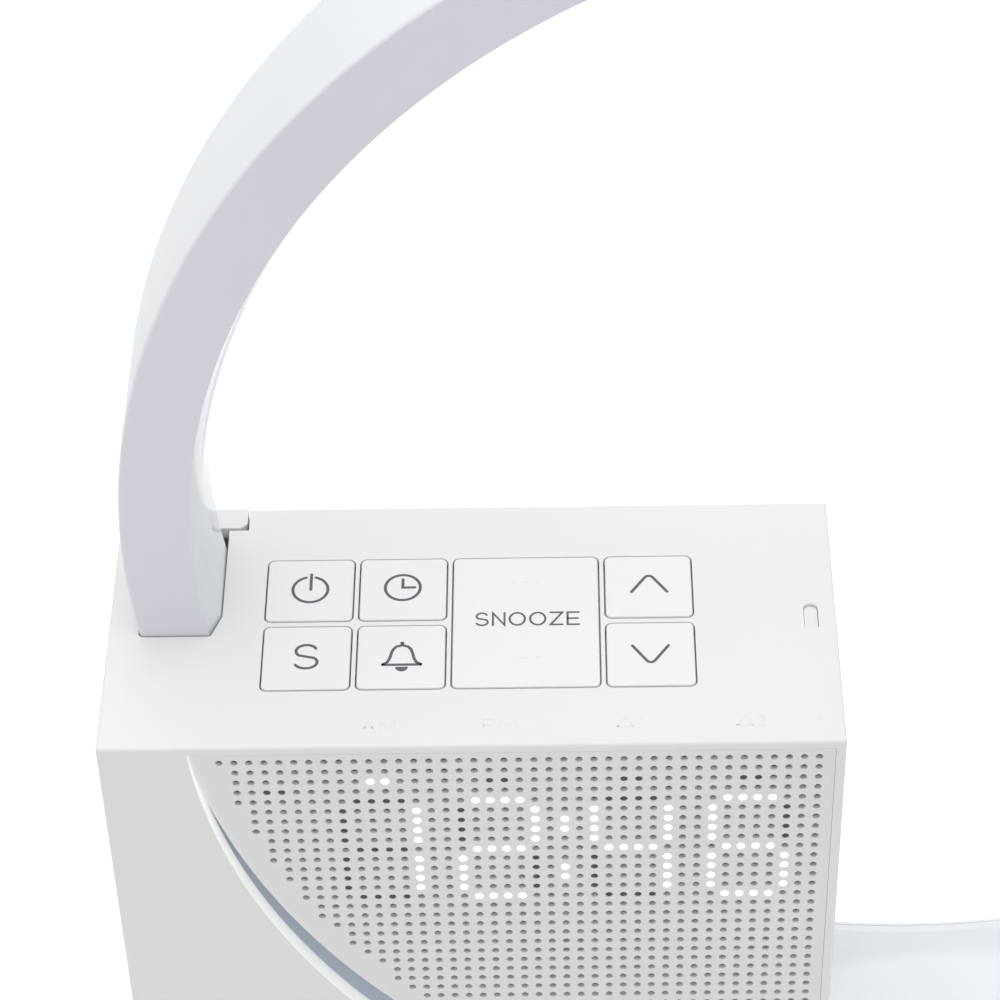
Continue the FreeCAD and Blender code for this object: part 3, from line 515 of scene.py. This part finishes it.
ring_low, ring_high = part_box("ring_channel")
ring_centre = (ring_low + ring_high) / 2
out_r = (ring_high.x - ring_low.x) / 2
in_r = out_r - rim_h * mm
ledge_r = in_r + strip_t * mm
crest_r = in_r - crest_rise * mm
front, back = ring_low.y, ring_high.y
turns = [math.pi / 2 * i / corner_steps for i in range(corner_steps + 1)]
round_front = [(out_r - corner_r * (1 - math.sin(t)) * mm, front + corner_r * (1 - math.cos(t)) * mm)
               for t in turns]
round_back = [(r, front + back - y) for r, y in round_front]
half = [(in_r, 0), (in_r, channel_lip), (ledge_r, channel_lip), (ledge_r, channel_wall),
        (out_r - channel_wall * mm, channel_wall)]
channel = [(r, front + t * mm) for r, t in half] + [(r, back - t * mm) for r, t in reversed(half)]
channel += round_back + round_front[::-1]
side_painted_shade = moulded("ring_side_painted_shade", side_painted_shade_colour, rough=0.42, grain=0.5, depth=0.004)
rim_plastic = moulded("ring_rim", rim_colour, rough=0.4, grain=0.5, depth=0.004)
hoop("shown_ring_channel", channel, ring_centre, (side_painted_shade, rim_plastic),
     lambda normal: 0 if abs(normal.y) > flat_side else 1)
strip_front = front + (channel_lip + fit_gap) * mm
strip_back = back - (channel_lip + fit_gap) * mm
seat_r, roof_r = ledge_r - fit_gap * mm, crest_r + strip_t * mm
strip = [(in_r, strip_front), (crest_r, front + bevel_front * mm),
         (crest_r, back - bevel_back * mm), (in_r, strip_back),
         (seat_r, strip_back), (seat_r, strip_back - foot_w * mm),
         (roof_r, back - (bevel_back + foot_w / 2) * mm),
         (roof_r, front + (bevel_front + foot_w / 2) * mm),
         (seat_r, strip_front + foot_w * mm), (seat_r, strip_front)]
hoop("shown_ring_diffuser", strip, ring_centre, (milky("diffuser_acrylic", diffuser_colour),),
     lambda normal: 0)

# Circuit boards, chips, leads and LEDs inside
# Green boards with a copper pour showing faintly through the mask, black epoxy packages,
# flat cables and a white flexible strip that carries the ring's yellow phosphor LEDs.
mask_dark, mask_light = (0.012, 0.10, 0.045, 1), (0.02, 0.17, 0.07, 1)
epoxy_colour = (0.012, 0.012, 0.013)
zinc_colour, zinc_rough = (0.62, 0.62, 0.64), 0.32
strip_colour, phosphor_colour = (0.8, 0.8, 0.78), (0.85, 0.66, 0.18)
cable_colour, sleeve_colour = (0.66, 0.63, 0.55), (0.02, 0.02, 0.02)


def board_finish(name):
    """Solder mask with tracks and copper pour showing as a slightly raised block pattern."""
    material, tree, shader = new_material(name)
    place = node_at(tree, "ShaderNodeTexCoord", -5, 0)
    pour = node_at(tree, "ShaderNodeTexVoronoi", -3, 0, Scale=260.0, distance="MANHATTAN")
    ramp = node_at(tree, "ShaderNodeValToRGB", -2, 0)
    ramp.color_ramp.elements[0].color = mask_dark
    ramp.color_ramp.elements[1].color = mask_light
    tree.links.new(place.outputs["Object"], pour.inputs["Vector"])
    tree.links.new(pour.outputs["Distance"], ramp.inputs["Fac"])
    tree.links.new(ramp.outputs["Color"], shader.inputs["Base Color"])
    bump = node_at(tree, "ShaderNodeBump", -2, -2, Strength=0.3, Distance=0.03 * mm)
    tree.links.new(pour.outputs["Distance"], bump.inputs["Height"])
    tree.links.new(bump.outputs["Normal"], shader.inputs["Normal"])
    shader.inputs["Roughness"].default_value = 0.3
    return material


def metal(name, colour, rough):
    """Plated metal with a fine unevenness in its gloss and tint."""
    material, tree, shader = new_material(name)
    place = node_at(tree, "ShaderNodeTexCoord", -5, 0)
    noise = node_at(tree, "ShaderNodeTexNoise", -3, 0, Scale=1500.0, Detail=2.0)
    gloss = node_at(tree, "ShaderNodeMapRange", -2, -1)
    gloss.inputs["To Min"].default_value = rough * 0.8
    gloss.inputs["To Max"].default_value = rough * 1.3
    tint = node_at(tree, "ShaderNodeValToRGB", -2, 1)
    tint.color_ramp.elements[0].color = [c * 0.9 for c in colour] + [1]
    tint.color_ramp.elements[1].color = list(colour) + [1]
    tree.links.new(place.outputs["Object"], noise.inputs["Vector"])
    tree.links.new(noise.outputs["Fac"], gloss.inputs["Value"])
    tree.links.new(noise.outputs["Fac"], tint.inputs["Fac"])
    tree.links.new(gloss.outputs["Result"], shader.inputs["Roughness"])
    tree.links.new(tint.outputs["Color"], shader.inputs["Base Color"])
    shader.inputs["Metallic"].default_value = 1.0
    return material


dress(board_finish("circuit_board"), "display_board", "key_board", "main_board")
dress(moulded("epoxy", epoxy_colour, rough=0.4), "board_chips", "key_switches", "light_sensor")
zinc = metal("zinc_plate", zinc_colour, zinc_rough)
dress(zinc, "rear_cover_screws", "ring_clamp_screws", "display_board_screws", "key_board_screws",
      "main_board_screws", "speaker_screws", "speaker_magnet", "usb_c_socket", "coin_cell",
      "battery_contact")
dress(moulded("flex_strip", strip_colour, rough=0.4), "ring_led_strip")
dress(moulded("phosphor", phosphor_colour, rough=0.35), "ring_leds")
dress(moulded("flat_cable", cable_colour, rough=0.45), "display_ribbon", "key_ribbon")
dress(moulded("lead_sleeve", sleeve_colour, rough=0.5), "speaker_lead", "ring_lead")

# Speaker, feet and light window
# A small paper-cone speaker on a foam gasket, soft grey rubber feet, and a clear light pipe
# that sits half a millimetre below the top for the room-light sensor.
rubber_colour, foam_colour = (0.30, 0.30, 0.31), (0.015, 0.015, 0.015)
paper_colour, window_colour = (0.02, 0.02, 0.022), (0.87, 0.875, 0.86)

dress(moulded("foot_rubber", rubber_colour, rough=0.75, grain=0.6, depth=0.02),
      "housing_feet", "ring_foot")
dress(moulded("cone_paper", paper_colour, rough=0.8, grain=0.2, depth=0.03),
      "speaker_cone", "speaker_dust_cap")
dress(moulded("speaker_rubber", foam_colour, rough=0.7), "speaker_surround", "speaker_gasket")
dress(moulded("window_plastic", window_colour, rough=0.3), "light_window")

# Painted shade in the holes over the speaker posts
# Small round discs woven like the scrim are glued into the holes that the speaker's four moulded
# posts close from behind; their grey is painted shade, so that those holes look as deep as their
# neighbours.
# Grey of the discs: painted shade of a deep hole.
plug_painted_shade_dark, plug_painted_shade_light = (0.26, 0.26, 0.265), (0.38, 0.38, 0.38)
plug_r, plug_depth, plug_t, plug_steps = 0.54, 0.36, 0.03, 20
hole_step, screw_head_r = 1.1, 1.4


def plug(bm, cx, cz, y):
    """A thin round disc that faces along Y."""
    turns = [2 * math.pi * i / plug_steps for i in range(plug_steps)]
    edge = [(cx + plug_r * mm * math.cos(t), cz + plug_r * mm * math.sin(t)) for t in turns]
    near, far = [[bm.verts.new((x, level, z)) for x, z in edge] for level in (y, y + plug_t * mm)]
    bm.faces.new(near)
    bm.faces.new(far[::-1])
    for i in range(plug_steps):
        j = (i + 1) % plug_steps
        bm.faces.new((near[j], near[i], far[i], far[j]))


plugs = bmesh.new()
posts_low, posts_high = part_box("speaker_screws")
plug_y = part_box("grille_panel")[0].y + plug_depth * mm
for post_x in (posts_low.x + screw_head_r * mm, posts_high.x - screw_head_r * mm):
    for post_z in (posts_low.z + screw_head_r * mm, posts_high.z - screw_head_r * mm):
        for sx, sz in ((-1, -1), (-1, 1), (1, 1), (1, -1)):
            plug(plugs, post_x + sx * hole_step * mm, post_z + sz * hole_step * mm, plug_y)
bmesh.ops.recalc_face_normals(plugs, faces=plugs.faces)
plug_painted_shade_cloth = woven("plug_painted_shade_cloth", plug_painted_shade_dark, plug_painted_shade_light, scrim_thread)
mesh_object("scrim_plugs_painted_shade", plugs, plug_painted_shade_cloth, "clock")

# Lit dots on the grille's face
# The lamps behind the grille are bright enough to whiten the rim of their own hole. Each
# gets a disc of spilled light just in front of the plate, fading out towards its edge.
glow_radius, glow_core, glow_lift = 0.68, 0.42, 0.02
glow_strength, glow_sides = 1.25, 20
glow_base, glow_light = (0.9, 0.9, 0.92, 1), (1, 1, 1, 1)
lens_cell, lens_reach = 1.1, 1.3


def islands(points):
    """The centres of the separate solids in a node, from the middle of each cluster."""
    cells = {}
    for point in points:
        key = (round(point.x / (lens_cell * mm)), round(point.z / (lens_cell * mm)))
        near = [k for k in cells if abs(k[0] - key[0]) <= 1 and abs(k[1] - key[1]) <= 1]
        home = next((k for k in near if (cells[k][0] - point).xz.length < lens_reach * mm), None)
        cells.setdefault(home or key, []).append(point)
    return [sum(group, Vector()) / len(group) for group in cells.values()]


def glow_material():
    """Spilled light: bright at the middle of each disc, fading to nothing at its edge."""
    material, tree, shader = new_material("led_glow")
    uv = node_at(tree, "ShaderNodeTexCoord", -7, 0)
    shape = node_at(tree, "ShaderNodeTexGradient", -5, 0, gradient_type="SPHERICAL")
    fade = node_at(tree, "ShaderNodeMapRange", -3, 0, interpolation_type="SMOOTHSTEP")
    fade.inputs["From Max"].default_value = 1 - glow_core / glow_radius
    tree.links.new(uv.outputs["UV"], shape.inputs["Vector"])
    tree.links.new(shape.outputs["Fac"], fade.inputs["Value"])
    tree.links.new(fade.outputs["Result"], shader.inputs["Alpha"])
    shader.inputs["Base Color"].default_value = glow_base
    shader.inputs["Emission Color"].default_value = glow_light
    shader.inputs["Emission Strength"].default_value = glow_strength
    return material


def glow_discs(centres, y):
    """One flat disc over each lamp, unwrapped so that its centre is the origin of the map."""
    r = glow_radius * mm
    bm = bmesh.new()
    uv = bm.loops.layers.uv.new("UVMap")
    for x, z in centres:
        hub = bm.verts.new((x, y, z))
        turns = [i * 2 * math.pi / glow_sides for i in range(glow_sides)]
        ring = [bm.verts.new((x + r * math.cos(a), y, z + r * math.sin(a))) for a in turns]
        for i, vert in enumerate(ring):
            face = bm.faces.new((hub, vert, ring[(i + 1) % glow_sides]))
            for loop in face.loops:
                offset = loop.vert.co - hub.co
                loop[uv].uv = (offset.x / r, offset.z / r)
    return bm


lit_points = [v.co.copy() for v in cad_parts["display_leds_lit"].data.vertices]
grille_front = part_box("grille_panel")[0].y
discs = glow_discs([(p.x, p.z) for p in islands(lit_points)], grille_front - glow_lift * mm)
glow = mesh_object("display_glow", discs, glow_material(), "clock")
glow.visible_shadow = False

# Table, daylight and camera
# A white table that runs on without an edge, an even white surround and one broad lamp
# overhead. The camera stands high in front of the box and looks down at it.
floor_size, floor_colour, floor_lift = 12.0, (0.9, 0.9, 0.9, 1), 0.32
surround_light, surround_seen = 0.552, 1.0
lamp_size, lamp_place, lamp_power = 1.6, (0, 0.1, 1.5), 13.2
white = (1, 1, 1, 1)
camera_place = (-0.056265, -0.37328, 0.49234)
camera_turn = (46.1348, 1.2506, 0.2343)
camera_lens = 127.76


def seen_directly(tree, x, y):
    """One for rays that show the background as itself, seen, mirrored or through glass."""
    path = node_at(tree, "ShaderNodeLightPath", x - 2, y)
    first = node_at(tree, "ShaderNodeMath", x - 1, y, operation="MAXIMUM")
    both = node_at(tree, "ShaderNodeMath", x, y, operation="MAXIMUM")
    tree.links.new(path.outputs["Is Camera Ray"], first.inputs[0])
    tree.links.new(path.outputs["Is Glossy Ray"], first.inputs[1])
    tree.links.new(first.outputs[0], both.inputs[0])
    tree.links.new(path.outputs["Is Transmission Ray"], both.inputs[1])
    return both.outputs[0]


def make_floor():
    mesh = bpy.data.meshes.new("table")
    half = floor_size / 2
    mesh.from_pydata([(-half, -half, 0), (half, -half, 0), (half, half, 0), (-half, half, 0)],
                     [], [(0, 1, 2, 3)])
    floor = bpy.data.objects.new("table", mesh)
    bpy.context.scene.collection.objects.link(floor)
    material, tree, shader = new_material("table")
    shader.inputs["Base Color"].default_value = floor_colour
    shader.inputs["Roughness"].default_value = 0.9
    shader.inputs["Emission Color"].default_value = white
    lift = node_at(tree, "ShaderNodeMath", -1, -3, operation="MULTIPLY")
    lift.inputs[1].default_value = floor_lift
    tree.links.new(seen_directly(tree, -3, -3), lift.inputs[0])
    tree.links.new(lift.outputs[0], shader.inputs["Emission Strength"])
    mesh.materials.append(material)


def make_surround():
    world = bpy.data.worlds.new("surround")
    bpy.context.scene.world = world
    world.use_nodes = True
    tree = world.node_tree
    light = tree.nodes["Background"]
    strength = node_at(tree, "ShaderNodeMapRange", -1, -2)
    strength.inputs["To Min"].default_value = surround_light
    strength.inputs["To Max"].default_value = surround_seen
    tree.links.new(seen_directly(tree, -3, -2), strength.inputs["Value"])
    light.inputs["Color"].default_value = white
    tree.links.new(strength.outputs["Result"], light.inputs["Strength"])


def make_lamp():
    lamp = bpy.data.lights.new("overhead", "AREA")
    lamp.shape, lamp.size, lamp.energy = "DISK", lamp_size, lamp_power
    holder = bpy.data.objects.new("overhead", lamp)
    holder.location = lamp_place
    bpy.context.scene.collection.objects.link(holder)


def make_camera():
    camera = bpy.data.cameras.new("camera")
    camera.lens = camera_lens
    camera.clip_start = 0.01
    holder = bpy.data.objects.new("camera", camera)
    holder.location = camera_place
    holder.rotation_euler = [math.radians(a) for a in camera_turn]
    bpy.context.scene.collection.objects.link(holder)
    bpy.context.scene.camera = holder


make_floor()
make_surround()
make_lamp()
make_camera()
bpy.context.scene.view_settings.view_transform = "Standard"
